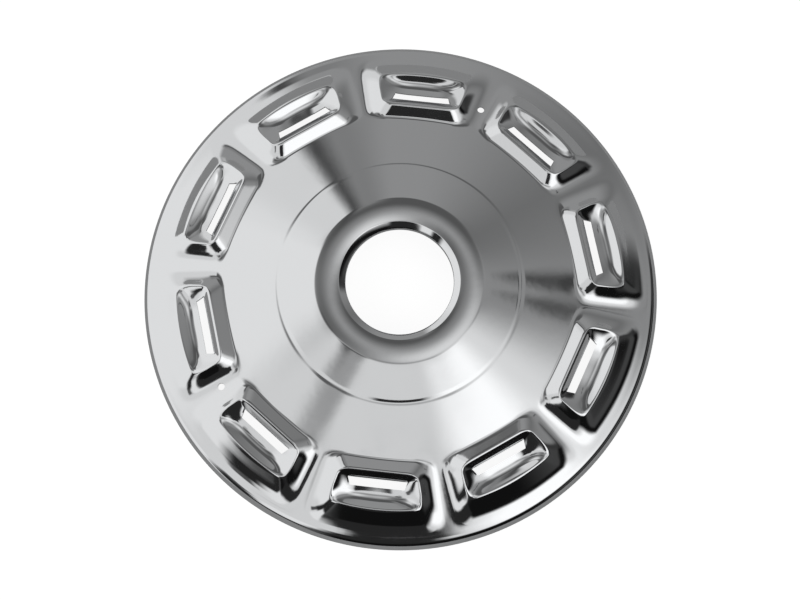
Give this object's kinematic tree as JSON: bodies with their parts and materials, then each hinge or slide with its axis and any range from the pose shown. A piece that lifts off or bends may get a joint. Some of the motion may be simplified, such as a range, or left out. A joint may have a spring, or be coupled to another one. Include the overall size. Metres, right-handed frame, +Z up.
{
  "type": "axle hub cover",
  "caption": "Chromed sheet-steel cover for a wheel hub: a shallow cone with a rolled rim, a rounded crown with a central axle hole, and a ring of raised slotted air vents.",
  "frame": {"origin": "centre of the rim's lowest face, on the floor that the cover rests on", "axes": "+Z up through the centre of the axle hole, away from the hollow side; one vent is centred on +X"},
  "size_m": [0.186, 0.186, 0.0219],
  "materials": {
    "chrome": "bright chrome plating on pressed steel"
  },
  "bodies": {
    "root": {"hub_cover": "chrome"}
  },
  "joints": []
}
